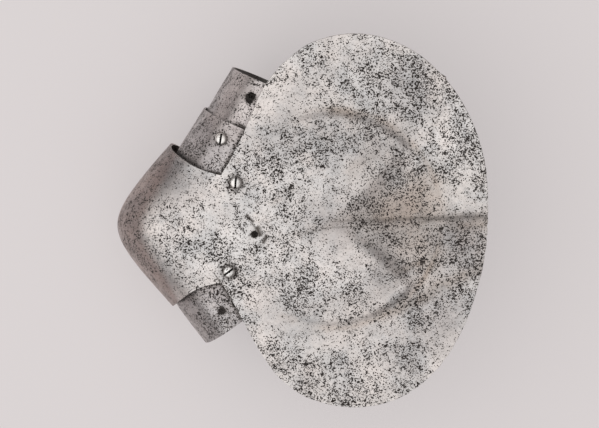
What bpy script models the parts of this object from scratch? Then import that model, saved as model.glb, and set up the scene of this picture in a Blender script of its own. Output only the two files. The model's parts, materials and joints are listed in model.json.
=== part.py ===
"""Couter: a plate defence for the elbow, lying on its inner cheek with its wing up.

The main plate is one sheet of steel: a cup over the point of the elbow, a plain inner
cheek, and a large wing with a round boss and a fold. Two lames above the cup and one
below it turn on screws at the outer side and on rivets at the inner side.
"""

import math

import bmesh
import bpy
from mathutils import Matrix, Vector

MM = 0.001

# The drawing frame is in millimetres: +X from the elbow's point to the wing's front edge,
# +Y along the upper arm's side, +Z out of the wing, and Z = 0 midway between the cheeks.
# The object's own frame has its origin under the middle of its box, on the ground.
BOX_CENTRE_X = -1.3
BOX_CENTRE_Y = 2.6

# Sheets and their nesting.
CHEEK_Z = 52.0
PLATE_THICK = 1.5
LAME_THICK = 1.1
NEST_GAP = 0.35
GAP = 0.3

# Cup: its back edge, seen from the side, is a hyperbola.
CUP_TIP_X = -116.0
CUP_TIP_RADIUS = 19.0
CUP_HALF_HEIGHT_UP = 49.9
CUP_HALF_HEIGHT_DOWN = 51.3
CUP_SPREAD_UP = 1.0
CUP_SPREAD_DOWN = 0.95
CUP_NOSE_TIP = 58.0
CUP_NOSE_RIM = 25.0
CUP_SQUARENESS = 2.5
RIM_BOW_UP = 2.6
RIM_BOW_DOWN = 4.4
NECK_BULGE = 6.5

# Wing: outline about its centre, as (angle in degrees, radius), from notch to notch.
WING_X = 18.0
WING_Y = 2.0
WING_OUTLINE = (
    (-152.5, 76.8),
    (-146.0, 76.9),
    (-138.0, 79.0),
    (-130.0, 83.3),
    (-120.0, 90.9),
    (-110.0, 100.3),
    (-100.0, 107.6),
    (-85.0, 113.4),
    (-70.0, 114.5),
    (-55.0, 109.6),
    (-40.0, 102.6),
    (-25.0, 97.1),
    (-10.0, 95.3),
    (5.0, 95.6),
    (20.0, 99.8),
    (35.0, 105.0),
    (50.0, 110.8),
    (65.0, 115.4),
    (80.0, 115.8),
    (95.0, 109.8),
    (107.0, 99.8),
    (116.0, 91.0),
    (125.0, 82.0),
    (133.0, 76.4),
    (141.0, 73.6),
    (148.0, 72.4),
    (155.5, 73.2),
)
WING_CORNER_UP = 50.0
WING_CORNER_DOWN = -50.0

# Wing relief: a boss, a flared border round it, a fold from the boss to the front edge
# with a crease along its bottom, and a shallow ray below the fold.
BOSS_X = 18.0
BOSS_Y = 4.0
BOSS_RADIUS = 66.0
BOSS_HEIGHT = 12.0
BOSS_BACK_POWER = 1.6
BOSS_FRONT_POWER = 1.1
RIDGE_HEIGHT = 0.6
RIDGE_INSET = 4.0
RIDGE_WIDTH = 3.0
FLARE_HEIGHT = 7.0
FLARE_SPAN = 48.0
FLARE_BACK_LOSS = 0.5
FLARE_LOW_LOSS = 0.55
FOLD_X = 9.0
FOLD_Y = 3.0
FOLD_UPPER_ANGLE = 31.0
FOLD_LOWER_ANGLE = 38.0
FOLD_UPPER_SLANT = 0.62
FOLD_LOWER_SLANT = 0.4
FOLD_RUN = 13.0
FOLD_SOFTNESS = 9.0
FOLD_DEPTH = 1.5
FOLD_BOSS_LOSS = 0.32
FOLD_EDGE_LOSS = 0.7
CREASE_DROP = 1.7
CREASE_RISE = 0.04
CREASE_DEPTH = 2.3
CREASE_WIDTH = 5.5
CREASE_START = 15.0
CREASE_FULL = 105.0
RAY_X = 32.0
RAY_Y = -62.0
RAY_ANGLE = 24.1
RAY_DEPTH = 0.8
RAY_WIDTH = 5.0

# Inner cheek: a plain rounded lobe, its front edge turned out to the ground.
LOBE_X = -40.0
LOBE_REACH = 48.0
LOBE_HALF_WIDTH = 37.0
LOBE_SQUARENESS = 2.4
LOBE_TURN = 2.6

# Lames: lines from the back edge to the front edge, from below upward, as
# (back x, back y, front x, front y, length of the round at the back) in the side view.
UPPER_LAME = (
    (-81.0, 35.5, -33.0, 17.0, 33.0),
    (-78.9, 42.3, -31.0, 25.0, 30.0),
    (-75.0, 49.1, -28.0, 34.0, 27.0),
    (-67.3, 60.6, -24.0, 43.0, 25.0),
    (-59.6, 72.1, -20.5, 53.3, 24.0),
)
TOP_LAME = (
    (-65.2, 56.6, -34.0, 40.0, 27.0),
    (-61.2, 65.3, -28.0, 49.0, 27.0),
    (-56.1, 73.6, -22.0, 58.0, 26.0),
    (-48.7, 85.4, -15.5, 69.7, 25.0),
    (-41.1, 97.1, -8.5, 81.9, 24.0),
)
LOWER_LAME = (
    (-63.2, -74.7, -26.0, -49.2, 26.0),
    (-71.8, -63.0, -30.0, -41.5, 28.0),
    (-80.0, -51.0, -33.0, -33.0, 31.0),
    (-83.4, -43.5, -36.0, -25.0, 34.0),
    (-85.4, -36.0, -38.0, -17.5, 36.0),
)
LAME_SQUARENESS = 2.3

# Pivots, in the side view.
PIVOT_UPPER = (-39.6, 27.6)
PIVOT_TOP = (-48.0, 54.5)
PIVOT_LOWER = (-45.3, -26.6)

# Holes.
LACING_HOLE = (-29.2, -4.1)
LACING_RADIUS = 2.15
RAGGED_HOLE = (-29.7, 78.9)
RAGGED_RADIUS = 3.1
RAGGED_WAVES = ((2, 0.16, -0.6), (3, 0.08, 0.3), (5, 0.07, 2.0))
LOWER_HOLE = (-50.4, -50.9)
CANNON_HOLE_RADIUS = 2.1
CUTTER_REACH = 12.0

# Screws, nuts and rivets.
SHANK_RADIUS = 1.8
HEAD_RADIUS = 3.6
HEAD_EDGE = 0.9
HEAD_HEIGHT = 2.6
SLOT_WIDTH = 1.1
SLOT_DEPTH = 1.1
SLOT_ANGLES = {"screw_upper": 84.0, "screw_top": 80.0, "screw_lower": 35.0}
NUT_RADIUS = 3.8
SLOPE_SPARE = 1.3
SEAT_LIFT = 0.2
NUT_HEIGHT = 2.4
SHANK_PROUD = 0.8
RIVET_FLAT_RADIUS = 2.7
RIVET_HEAD_RADIUS = 3.5
RIVET_PEEN_RADIUS = 2.8
RIVET_PEEN_HEIGHT = 1.2
ROUND_STEPS = 14

# Mesh divisions.
PLATE_ROWS = 26
LOBE_COLUMNS = 6
FLAT_COLUMNS = 3
NOSE_COLUMNS = 9
WING_COLUMNS = 27
LAME_ROWS = 8
LAME_NOSE_COLUMNS = 8
LAME_FLAT_COLUMNS = 3

FLOOR_Z = -CHEEK_Z - LOBE_TURN
UPPER_Z = CHEEK_Z - PLATE_THICK - NEST_GAP
TOP_Z = UPPER_Z - LAME_THICK - NEST_GAP


def clear_scene():
    for thing in list(bpy.data.objects):
        bpy.data.objects.remove(thing)


def collection(name):
    made = bpy.data.collections.new(name)
    bpy.context.scene.collection.children.link(made)
    return made


def steel(name, colour, roughness):
    material = bpy.data.materials.new(name)
    material.use_nodes = True
    shader = material.node_tree.nodes["Principled BSDF"]
    shader.inputs["Base Color"].default_value = (*colour, 1.0)
    shader.inputs["Metallic"].default_value = 1.0
    shader.inputs["Roughness"].default_value = roughness
    return material


def ease(low, high, value):
    """0 below low, 1 above high, and a smooth step between them."""
    part = min(max((value - low) / (high - low), 0.0), 1.0)
    return part * part * (3.0 - 2.0 * part)


def spline(before, start, end, after, part):
    """A Catmull-Rom curve from start to end."""
    return 0.5 * (
        2.0 * start
        + (end - before) * part
        + (2.0 * before - 5.0 * start + 4.0 * end - after) * part**2
        + (3.0 * start - before - 3.0 * end + after) * part**3
    )


def read_row(table, position):
    """A table's columns at a position counted in rows, smooth from row to row."""
    last = len(table) - 1
    first = min(max(int(position), 0), last - 1)
    part = position - first
    rows = [table[min(max(first + step, 0), last)] for step in (-1, 0, 1, 2)]
    return [spline(*values, part) for values in zip(*rows)]


def wing_edge(angle):
    """The wing's outline at an angle about its centre."""
    angles = [row[0] for row in WING_OUTLINE]
    first = max(i for i, value in enumerate(angles[:-1]) if value <= angle + 1e-9)
    part = (angle - angles[first]) / (angles[first + 1] - angles[first])
    radius = read_row(WING_OUTLINE, first + part)[1]
    turn = math.radians(angle)
    return Vector((WING_X + radius * math.cos(turn), WING_Y + radius * math.sin(turn)))


def fold_share(along, off):
    """0 outside the fold, rising from its two sides toward 1 within."""
    if along <= 0.0:
        return 0.0
    angle = FOLD_UPPER_ANGLE if off > 0.0 else FOLD_LOWER_ANGLE
    slant = FOLD_UPPER_SLANT if off > 0.0 else FOLD_LOWER_SLANT
    width = along * math.tan(math.radians(angle))
    inside = slant * along * max(1.0 - abs(off) / width, 0.0)
    return 1.0 - math.exp(-(inside**2) / (inside + FOLD_SOFTNESS) / FOLD_RUN)


def wing_relief(x, y):
    """How far the wing stands above the flat of the cheek."""
    across, up = x - BOSS_X, y - BOSS_Y
    reach = math.hypot(across, up)
    leftward = ease(0.2, 0.9, -across / max(reach, 1e-6))
    rightward = ease(0.7, 0.9, across / max(reach, 1e-6))
    rise = max(1.0 - (reach / BOSS_RADIUS) ** 2, 0.0)
    power = 1.0 + BOSS_BACK_POWER * leftward + BOSS_FRONT_POWER * rightward
    boss = BOSS_HEIGHT * rise**power
    off_ridge = (reach - BOSS_RADIUS + RIDGE_INSET) / RIDGE_WIDTH
    boss += RIDGE_HEIGHT * math.exp(-(off_ridge**2)) * (1.0 - leftward) * (1.0 - rightward)
    border = max(reach - BOSS_RADIUS, 0.0) / FLARE_SPAN
    flare = FLARE_HEIGHT * border**1.5 * (1.0 - FLARE_BACK_LOSS * leftward)
    along, off = x - FOLD_X, y - FOLD_Y
    ray_x, ray_y = math.cos(math.radians(RAY_ANGLE)), math.sin(math.radians(RAY_ANGLE))
    along_ray = ray_x * (x - RAY_X) + ray_y * (y - RAY_Y)
    above_ray = ray_x * (y - RAY_Y) - ray_y * (x - RAY_X)
    flare *= 1.0 - FLARE_LOW_LOSS * ease(-2.0, 6.0, -off) * ease(-6.0, 6.0, above_ray)
    fold = fold_share(along, off)
    dip = FOLD_DEPTH * fold * (1.0 - FOLD_EDGE_LOSS * ease(0.0, 0.6, border))
    off_crease = off + CREASE_DROP - CREASE_RISE * along
    crease = CREASE_DEPTH * math.exp(-abs(off_crease) / CREASE_WIDTH)
    crease *= ease(CREASE_START, CREASE_FULL, along)
    ray = RAY_DEPTH * math.exp(-abs(above_ray) / RAY_WIDTH) * ease(0.0, 20.0, along_ray)
    return boss * (1.0 - FOLD_BOSS_LOSS * fold) + flare - dip - crease - ray


def squared_round(part, squareness):
    """Run and rise, 0 to 1, a share of the way round a quarter of a squared ellipse."""
    turn = 0.5 * math.pi * part
    power = 2.0 / squareness
    return 1.0 - math.cos(turn) ** power, math.sin(turn) ** power


def neck_point(side):
    up = wing_edge(WING_OUTLINE[-1][0])
    down = wing_edge(WING_OUTLINE[0][0])
    bulge = Vector((NECK_BULGE * (1.0 - side * side), 0.0))
    return (up + down) / 2 + (up - down) / 2 * side + bulge


def cup_back(side):
    """The back edge of the cup, from its lower rim at -1 to its upper rim at 1."""
    height = CUP_HALF_HEIGHT_UP if side > 0 else CUP_HALF_HEIGHT_DOWN
    spread = CUP_SPREAD_UP if side > 0 else CUP_SPREAD_DOWN
    y = side * height
    x = CUP_TIP_X - CUP_TIP_RADIUS + math.hypot(CUP_TIP_RADIUS, spread * y)
    return Vector((x, y))


def cup_point(side, part, nose):
    """A point of the cup's outer half: round its nose, or on the flat behind it."""
    back, neck = cup_back(side), neck_point(side)
    chord = neck - back
    length = chord.length
    nose_length = CUP_NOSE_RIM + (CUP_NOSE_TIP - CUP_NOSE_RIM) * (1.0 - side * side)
    if nose:
        run, rise = squared_round(part, CUP_SQUARENESS)
        along = nose_length * run / length
    else:
        rise = 1.0
        along = (nose_length + (length - nose_length) * part) / length
    bow = (RIM_BOW_UP if side > 0 else RIM_BOW_DOWN) * side * abs(side)
    inward = Vector((chord.y, -chord.x)) / length
    plan = back + chord * along + inward * bow * 4.0 * along * (1.0 - along)
    return plan.x, plan.y, CHEEK_Z * rise


def wing_point(side, part):
    """A point of the wing, blended between the neck and the three runs of its outline."""
    share = (side + 1.0) / 2.0
    top_angle = WING_OUTLINE[-1][0]
    bottom_angle = WING_OUTLINE[0][0]
    left = neck_point(side)
    right = wing_edge(WING_CORNER_DOWN * (1.0 - share) + WING_CORNER_UP * share)
    top = wing_edge(top_angle + (WING_CORNER_UP - top_angle) * part)
    bottom = wing_edge(bottom_angle + (WING_CORNER_DOWN - bottom_angle) * part)
    corners = (
        neck_point(-1.0) * (1.0 - part) * (1.0 - share)
        + neck_point(1.0) * (1.0 - part) * share
        + wing_edge(WING_CORNER_DOWN) * part * (1.0 - share)
        + wing_edge(WING_CORNER_UP) * part * share
    )
    plan = left * (1.0 - part) + right * part + bottom * (1.0 - share) + top * share - corners
    return plan.x, plan.y, CHEEK_Z + wing_relief(plan.x, plan.y)


def lobe_point(side, part):
    """A point of the inner cheek's lobe, from the neck to its rounded front."""
    turn = 0.5 * math.pi * side
    power = 2.0 / LOBE_SQUARENESS
    front = Vector(
        (
            LOBE_X + LOBE_REACH * math.cos(turn) ** power,
            LOBE_HALF_WIDTH * math.copysign(abs(math.sin(turn)) ** power, side),
        )
    )
    plan = neck_point(side).lerp(front, part)
    turned = LOBE_TURN * ease(0.3, 1.0, part) * (1.0 - ease(0.5, 0.95, abs(side)))
    return plan.x, plan.y, -CHEEK_Z - turned


def plate_point(column, row):
    """The main plate's outer surface: lobe, inner half of the cup, outer half, wing."""
    side = 2.0 * row / PLATE_ROWS - 1.0
    if column <= LOBE_COLUMNS:
        return lobe_point(side, 1.0 - column / LOBE_COLUMNS)
    half = FLAT_COLUMNS + NOSE_COLUMNS
    step = column - LOBE_COLUMNS - half
    if step > half:
        return wing_point(side, (step - half) / WING_COLUMNS)
    x, y, z = cup_point(side, *nose_or_flat(abs(step), NOSE_COLUMNS, FLAT_COLUMNS))
    return x, y, math.copysign(z, step)


def nose_or_flat(step, nose_columns, flat_columns):
    """Where a column lies, counted from the back edge: how far along, and if on the nose."""
    if step <= nose_columns:
        return step / nose_columns, True
    return (step - nose_columns) / flat_columns, False


def lame_point(table, height, column, row):
    """A lame's outer surface: a U in each section, open to the front."""
    back_x, back_y, front_x, front_y, nose = read_row(table, row * (len(table) - 1) / LAME_ROWS)
    back, front = Vector((back_x, back_y)), Vector((front_x, front_y))
    chord = front - back
    step = column - LAME_NOSE_COLUMNS - LAME_FLAT_COLUMNS
    part, on_nose = nose_or_flat(abs(step), LAME_NOSE_COLUMNS, LAME_FLAT_COLUMNS)
    if on_nose:
        run, rise = squared_round(part, LAME_SQUARENESS)
        along = nose * run
    else:
        rise = 1.0
        along = nose + (chord.length - nose) * part
    plan = back + chord.normalized() * along
    return plan.x, plan.y, math.copysign(height * rise, step)


def lame_seat(table, height, x, y):
    """Height and slope, in radians, of a lame's outer cheek over a point of the side view."""
    steps = 200
    best = None
    for step in range(steps + 1):
        back_x, back_y, front_x, front_y, nose = read_row(table, step * (len(table) - 1) / steps)
        chord = Vector((front_x - back_x, front_y - back_y)).normalized()
        to_point = Vector((x - back_x, y - back_y))
        off = abs(chord.cross(to_point))
        if best is None or off < best[0]:
            best = (off, to_point.dot(chord), nose)
    _, along, nose = best
    left = max(1.0 - along / nose, 0.0)
    level = (1.0 - left**LAME_SQUARENESS) ** (1.0 / LAME_SQUARENESS)
    slope = height / nose * left ** (LAME_SQUARENESS - 1.0) * level ** (1.0 - LAME_SQUARENESS)
    return height * level, math.atan(slope)


def own_frame(x, y, z):
    """From the drawing frame, in millimetres, to the object's own frame, in metres."""
    return Vector((x - BOX_CENTRE_X, y - BOX_CENTRE_Y, z - FLOOR_Z)) * MM


def sheet(name, columns, rows, point, origin, thickness, material, home):
    """A grid laid on a surface, thickened inwards to a sheet of metal."""
    mesh = bpy.data.meshes.new(name)
    grid = bmesh.new()
    bmesh.ops.create_grid(grid, x_segments=columns, y_segments=rows, size=0.5)
    for vertex in grid.verts:
        column = round((vertex.co.x + 0.5) * columns)
        row = round((vertex.co.y + 0.5) * rows)
        vertex.co = own_frame(*point(column, row)) - origin
    for face in grid.faces:
        face.smooth = True
    grid.to_mesh(mesh)
    grid.free()
    made = bpy.data.objects.new(name, mesh)
    home.objects.link(made)
    made.location = origin
    mesh.materials.append(material)
    wall = made.modifiers.new("thickness", "SOLIDIFY")
    wall.thickness = thickness * MM
    wall.offset = -1.0
    return made


def lame(name, table, height, pivot, material, home):
    columns = 2 * (LAME_NOSE_COLUMNS + LAME_FLAT_COLUMNS)
    origin = own_frame(*pivot, 0.0)
    return sheet(
        name,
        columns,
        LAME_ROWS,
        lambda column, row: lame_point(table, height, column, row),
        origin,
        LAME_THICK,
        material,
        home,
    )


def axis_frame(x, y, z, toward=0.0, tilt=0.0, inner=False):
    """A frame on a cheek's surface whose +Z points out of it, tilted toward an angle."""
    turn = math.radians(toward)
    lean = Vector((math.cos(turn), math.sin(turn), 0.0)) * math.sin(tilt)
    out = lean + Vector((0.0, 0.0, math.cos(tilt)))
    if inner:
        z = -z
        out.z = -out.z
    rotation = out.to_track_quat("Z", "Y").to_matrix().to_4x4()
    return Matrix.Translation(own_frame(x, y, z)) @ rotation


def cutter(name, radius, length, frame, cutters, waves=()):
    """A round cutter along a frame's Z, its radius waved where the hole is ragged."""
    bm = bmesh.new()
    bmesh.ops.create_cone(
        bm,
        cap_ends=True,
        segments=ROUND_STEPS,
        radius1=radius * MM,
        radius2=radius * MM,
        depth=length * MM,
    )
    for vertex in bm.verts:
        turn = math.atan2(vertex.co.y, vertex.co.x)
        share = 1.0 + sum(size * math.sin(count * turn + phase) for count, size, phase in waves)
        vertex.co.x *= share
        vertex.co.y *= share
    mesh = bpy.data.meshes.new(name)
    bm.to_mesh(mesh)
    bm.free()
    made = bpy.data.objects.new(name, mesh)
    cutters.objects.link(made)
    made.matrix_world = frame
    made.hide_render = True
    made.display_type = "WIRE"
    return made


def cut(piece, tool):
    hole = piece.modifiers.new(tool.name, "BOOLEAN")
    hole.operation = "DIFFERENCE"
    hole.solver = "EXACT"
    hole.object = tool


def turned(name, profile, frame, material, home):
    """A solid of revolution about its own Z, from a profile in millimetres."""
    mesh = bpy.data.meshes.new(name)
    bm = bmesh.new()
    points = [bm.verts.new((radius * MM, 0.0, height * MM)) for radius, height in profile]
    for start, end in zip(points, points[1:]):
        bm.edges.new((start, end))
    bm.to_mesh(mesh)
    bm.free()
    made = bpy.data.objects.new(name, mesh)
    home.objects.link(made)
    made.matrix_world = frame
    mesh.materials.append(material)
    screw = made.modifiers.new("turn", "SCREW")
    screw.axis = "Z"
    screw.steps = ROUND_STEPS
    screw.render_steps = ROUND_STEPS
    screw.use_merge_vertices = True
    screw.merge_threshold = 0.00001
    screw.use_smooth_shade = True
    return made


def screw_piece(name, frame, grip, material, home, cutters):
    """A dome-headed slotted screw. Its head sits at the frame, its shank runs down."""
    dome_steps = 5
    profile = []
    for step in range(dome_steps):
        turn = 0.5 * math.pi * step / dome_steps
        rise = (HEAD_HEIGHT - HEAD_EDGE) * math.cos(turn)
        profile.append((HEAD_RADIUS * math.sin(turn), HEAD_EDGE + rise))
    end = -(grip + GAP + NUT_HEIGHT + SHANK_PROUD)
    profile += [(HEAD_RADIUS, HEAD_EDGE), (HEAD_RADIUS, GAP), (SHANK_RADIUS, GAP)]
    profile += [(SHANK_RADIUS, end), (0.0, end)]
    made = turned(name, profile, frame, material, home)
    bm = bmesh.new()
    bmesh.ops.create_cube(bm, size=1.0)
    size = Vector((4.0 * HEAD_RADIUS, SLOT_WIDTH, 4.0 * SLOT_DEPTH)) * MM
    bmesh.ops.scale(bm, vec=size, verts=bm.verts)
    mesh = bpy.data.meshes.new(name + "_slot")
    bm.to_mesh(mesh)
    bm.free()
    slot = bpy.data.objects.new(name + "_slot", mesh)
    cutters.objects.link(slot)
    lift = Matrix.Translation((0.0, 0.0, (HEAD_HEIGHT + SLOT_DEPTH) * MM))
    slot.matrix_world = (
        Matrix.Translation(frame.translation)
        @ Matrix.Rotation(math.radians(SLOT_ANGLES[name]), 4, "Z")
        @ lift
    )
    slot.hide_render = True
    slot.display_type = "WIRE"
    cut(made, slot)
    return made


def nut_piece(name, frame, grip, material, home, cutters):
    """A plain six-sided nut under the plates."""
    bm = bmesh.new()
    bmesh.ops.create_cone(
        bm,
        cap_ends=True,
        segments=6,
        radius1=NUT_RADIUS * MM,
        radius2=NUT_RADIUS * MM,
        depth=NUT_HEIGHT * MM,
    )
    mesh = bpy.data.meshes.new(name)
    bm.to_mesh(mesh)
    bm.free()
    made = bpy.data.objects.new(name, mesh)
    home.objects.link(made)
    mesh.materials.append(material)
    drop = Matrix.Translation((0.0, 0.0, -(grip + GAP + NUT_HEIGHT / 2) * MM))
    made.matrix_world = frame @ drop
    bore = cutter(name + "_bore", SHANK_RADIUS + GAP, 3.0 * NUT_HEIGHT, frame @ drop, cutters)
    cut(made, bore)
    return made


def rivet_piece(name, frame, grip, material, home):
    """A rivet with a flat-topped head outside and a peened end inside."""
    peen = -(grip + GAP)
    end = peen - RIVET_PEEN_HEIGHT
    profile = (
        (0.0, LOBE_TURN),
        (RIVET_FLAT_RADIUS, LOBE_TURN),
        (RIVET_HEAD_RADIUS, LOBE_TURN / 2),
        (RIVET_HEAD_RADIUS, GAP),
        (SHANK_RADIUS, GAP),
        (SHANK_RADIUS, peen),
        (RIVET_PEEN_RADIUS, peen),
        (RIVET_PEEN_RADIUS, end),
        (0.0, end),
    )
    return turned(name, profile, frame, material, home)


def adopt(parent, *children):
    """Parent pieces without moving them."""
    for child in children:
        world = child.matrix_world.copy()
        child.parent = parent
        child.matrix_parent_inverse = parent.matrix_world.inverted()
        child.matrix_world = world


def main():
    clear_scene()
    couter = collection("couter")
    cutters = collection("cutters")
    pitted = steel("pitted_steel", (0.62, 0.60, 0.59), 0.38)
    dull = steel("lame_steel", (0.52, 0.50, 0.50), 0.42)
    screw_steel = steel("screw_steel", (0.58, 0.56, 0.54), 0.32)
    dark = steel("dark_iron", (0.22, 0.20, 0.19), 0.5)

    columns = LOBE_COLUMNS + 2 * (FLAT_COLUMNS + NOSE_COLUMNS) + WING_COLUMNS
    main_plate = sheet(
        "main_plate",
        columns,
        PLATE_ROWS,
        plate_point,
        Vector(),
        PLATE_THICK,
        pitted,
        couter,
    )
    upper_lame = lame("upper_lame", UPPER_LAME, UPPER_Z, PIVOT_UPPER, dull, couter)
    top_lame = lame("top_lame", TOP_LAME, TOP_Z, PIVOT_TOP, dull, couter)
    lower_lame = lame("lower_lame", LOWER_LAME, UPPER_Z, PIVOT_LOWER, dull, couter)
    bpy.context.view_layer.update()

    top_seat, lean = lame_seat(UPPER_LAME, UPPER_Z, *PIVOT_TOP)
    under_seat, _ = lame_seat(TOP_LAME, TOP_Z, *PIVOT_TOP)
    under_seat -= LAME_THICK + SLOPE_SPARE
    run = Vector(UPPER_LAME[-1][:2]) - Vector(UPPER_LAME[2][:2])
    outward = math.degrees(math.atan2(run.y, run.x)) + 90.0
    cheek_grip = CHEEK_Z - UPPER_Z + LAME_THICK
    fastenings = (
        ("upper", PIVOT_UPPER, CHEEK_Z, 0.0, cheek_grip, main_plate, upper_lame),
        ("top", PIVOT_TOP, top_seat, lean, top_seat - under_seat, upper_lame, top_lame),
        ("lower", PIVOT_LOWER, CHEEK_Z, 0.0, cheek_grip, main_plate, lower_lame),
    )
    for name, (x, y), seat, tilt, grip, carrier, carried in fastenings:
        lift = SEAT_LIFT if carrier is main_plate else 0.0
        outer = axis_frame(x, y, seat + lift, outward, tilt)
        inner = axis_frame(x, y, seat, outward, tilt, inner=True)
        for side, frame in (("outer", outer), ("inner", inner)):
            tool_name = f"{name}_{side}_pivot"
            tool = cutter(tool_name, SHANK_RADIUS + GAP, 6.0 * grip, frame, cutters)
            cut(carrier, tool)
            cut(carried, tool)
        screw = screw_piece(f"screw_{name}", outer, grip + lift, screw_steel, couter, cutters)
        nut = nut_piece(f"nut_{name}", outer, grip + lift, dark, couter, cutters)
        rivet = rivet_piece(f"rivet_{name}", inner, grip, dark, couter)
        bpy.context.view_layer.update()
        adopt(carrier, screw, nut, rivet)

    adopt(main_plate, upper_lame, lower_lame)
    adopt(upper_lame, top_lame)

    lacing = axis_frame(*LACING_HOLE, CHEEK_Z + wing_relief(*LACING_HOLE))
    cut(main_plate, cutter("lacing_hole", LACING_RADIUS, CUTTER_REACH, lacing, cutters))
    worn = axis_frame(*RAGGED_HOLE, TOP_Z)
    cut(top_lame, cutter("ragged_hole", RAGGED_RADIUS, CUTTER_REACH, worn, cutters, RAGGED_WAVES))
    for inner in (False, True):
        frame = axis_frame(*LOWER_HOLE, UPPER_Z, inner=inner)
        name = f"lower_{'inner' if inner else 'outer'}_hole"
        cut(lower_lame, cutter(name, CANNON_HOLE_RADIUS, CUTTER_REACH, frame, cutters))


main()
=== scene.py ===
"""The couter's looks: worn, pitted steel plates on their screws, laid on a pale ground."""

import json
import math

import bmesh
import bpy
from mathutils import Matrix, Vector, kdtree, noise

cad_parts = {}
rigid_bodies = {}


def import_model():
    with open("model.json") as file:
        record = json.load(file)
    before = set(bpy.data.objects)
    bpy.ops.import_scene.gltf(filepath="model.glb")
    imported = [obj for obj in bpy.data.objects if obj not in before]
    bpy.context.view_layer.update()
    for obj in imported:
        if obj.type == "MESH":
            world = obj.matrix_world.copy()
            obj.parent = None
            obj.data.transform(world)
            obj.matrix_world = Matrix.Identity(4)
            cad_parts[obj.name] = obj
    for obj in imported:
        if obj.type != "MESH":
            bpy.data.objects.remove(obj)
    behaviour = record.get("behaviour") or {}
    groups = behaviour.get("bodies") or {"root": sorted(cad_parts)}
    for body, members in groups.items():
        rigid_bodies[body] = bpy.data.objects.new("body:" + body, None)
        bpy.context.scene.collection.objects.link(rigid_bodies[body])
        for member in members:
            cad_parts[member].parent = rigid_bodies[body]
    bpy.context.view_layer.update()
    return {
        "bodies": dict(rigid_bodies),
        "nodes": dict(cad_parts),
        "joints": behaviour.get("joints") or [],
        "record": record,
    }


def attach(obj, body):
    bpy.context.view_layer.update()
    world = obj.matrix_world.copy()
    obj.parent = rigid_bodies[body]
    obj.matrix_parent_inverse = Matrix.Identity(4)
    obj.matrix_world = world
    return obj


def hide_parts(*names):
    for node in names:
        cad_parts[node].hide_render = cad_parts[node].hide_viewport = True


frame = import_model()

# The ground is a wide sheet of pale pinkish grey paper, lit from beneath as well, so that
# it takes hardly any shadow. A white tent lights the steel from above and from the left,
# and the camera looks down with the wing's front edge to the right of the picture.
PAPER_SPREAD = 14.0
PAPER_COLOUR = (0.42, 0.395, 0.395, 1.0)
PAPER_LIGHT = (1.0, 0.95, 0.95, 1.0)
PAPER_GLOW = 0.34
ROOF_COLOUR = (1.0, 0.99, 0.99, 1.0)
WALL_COLOUR = (0.15, 0.132, 0.13, 1.0)
WALL_TOP = 0.1
ROOF_START = 0.6
LIGHT_FROM = Vector((-0.42, -0.16, 0.9)).normalized()
LIGHT_FAR = -0.1
TENT_POWER = 1.28
CAMERA_AIM = Vector((-0.0003, 0.001, 0.0546))
CAMERA_HEIGHT = 1.6
CAMERA_BACK = 0.12
CAMERA_ROLL = math.radians(1.5)
CAMERA_LENS = 153.1


def lay_paper():
    sheet = bmesh.new()
    bmesh.ops.create_grid(sheet, x_segments=1, y_segments=1, size=PAPER_SPREAD / 2)
    mesh = bpy.data.meshes.new("paper")
    sheet.to_mesh(mesh)
    sheet.free()
    paper = bpy.data.objects.new("paper", mesh)
    bpy.context.scene.collection.objects.link(paper)
    finish = bpy.data.materials.new("paper")
    finish.use_nodes = True
    shader = finish.node_tree.nodes["Principled BSDF"]
    shader.inputs["Base Color"].default_value = PAPER_COLOUR
    shader.inputs["Roughness"].default_value = 0.9
    shader.inputs["Specular IOR Level"].default_value = 0.1
    shader.inputs["Emission Color"].default_value = PAPER_LIGHT
    shader.inputs["Emission Strength"].default_value = PAPER_GLOW
    mesh.materials.append(finish)


def light_tent():
    world = bpy.data.worlds.new("tent")
    world.use_nodes = True
    tree = world.node_tree
    toward = tree.nodes.new("ShaderNodeTexCoord")
    split = tree.nodes.new("ShaderNodeSeparateXYZ")
    tree.links.new(toward.outputs["Generated"], split.inputs[0])
    near = tree.nodes.new("ShaderNodeVectorMath")
    near.operation = "DOT_PRODUCT"
    near.inputs[1].default_value = LIGHT_FROM
    tree.links.new(toward.outputs["Generated"], near.inputs[0])
    spans = (
        (split.outputs["Z"], WALL_TOP, ROOF_START),
        (near.outputs[1], LIGHT_FAR, 1.0),
    )
    shares = []
    for source, low, high in spans:
        rise = tree.nodes.new("ShaderNodeMapRange")
        rise.interpolation_type = "SMOOTHSTEP"
        rise.inputs["From Min"].default_value = low
        rise.inputs["From Max"].default_value = high
        tree.links.new(source, rise.inputs["Value"])
        shares.append(rise.outputs[0])
    both = tree.nodes.new("ShaderNodeMath")
    both.operation = "MULTIPLY"
    tree.links.new(shares[0], both.inputs[0])
    tree.links.new(shares[1], both.inputs[1])
    tone = tree.nodes.new("ShaderNodeMix")
    tone.data_type = "RGBA"
    tone.inputs[6].default_value = WALL_COLOUR
    tone.inputs[7].default_value = ROOF_COLOUR
    tree.links.new(both.outputs[0], tone.inputs[0])
    tree.links.new(tone.outputs[2], tree.nodes["Background"].inputs["Color"])
    tree.nodes["Background"].inputs["Strength"].default_value = TENT_POWER
    bpy.context.scene.world = world
    bpy.context.scene.view_settings.view_transform = "Standard"


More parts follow.
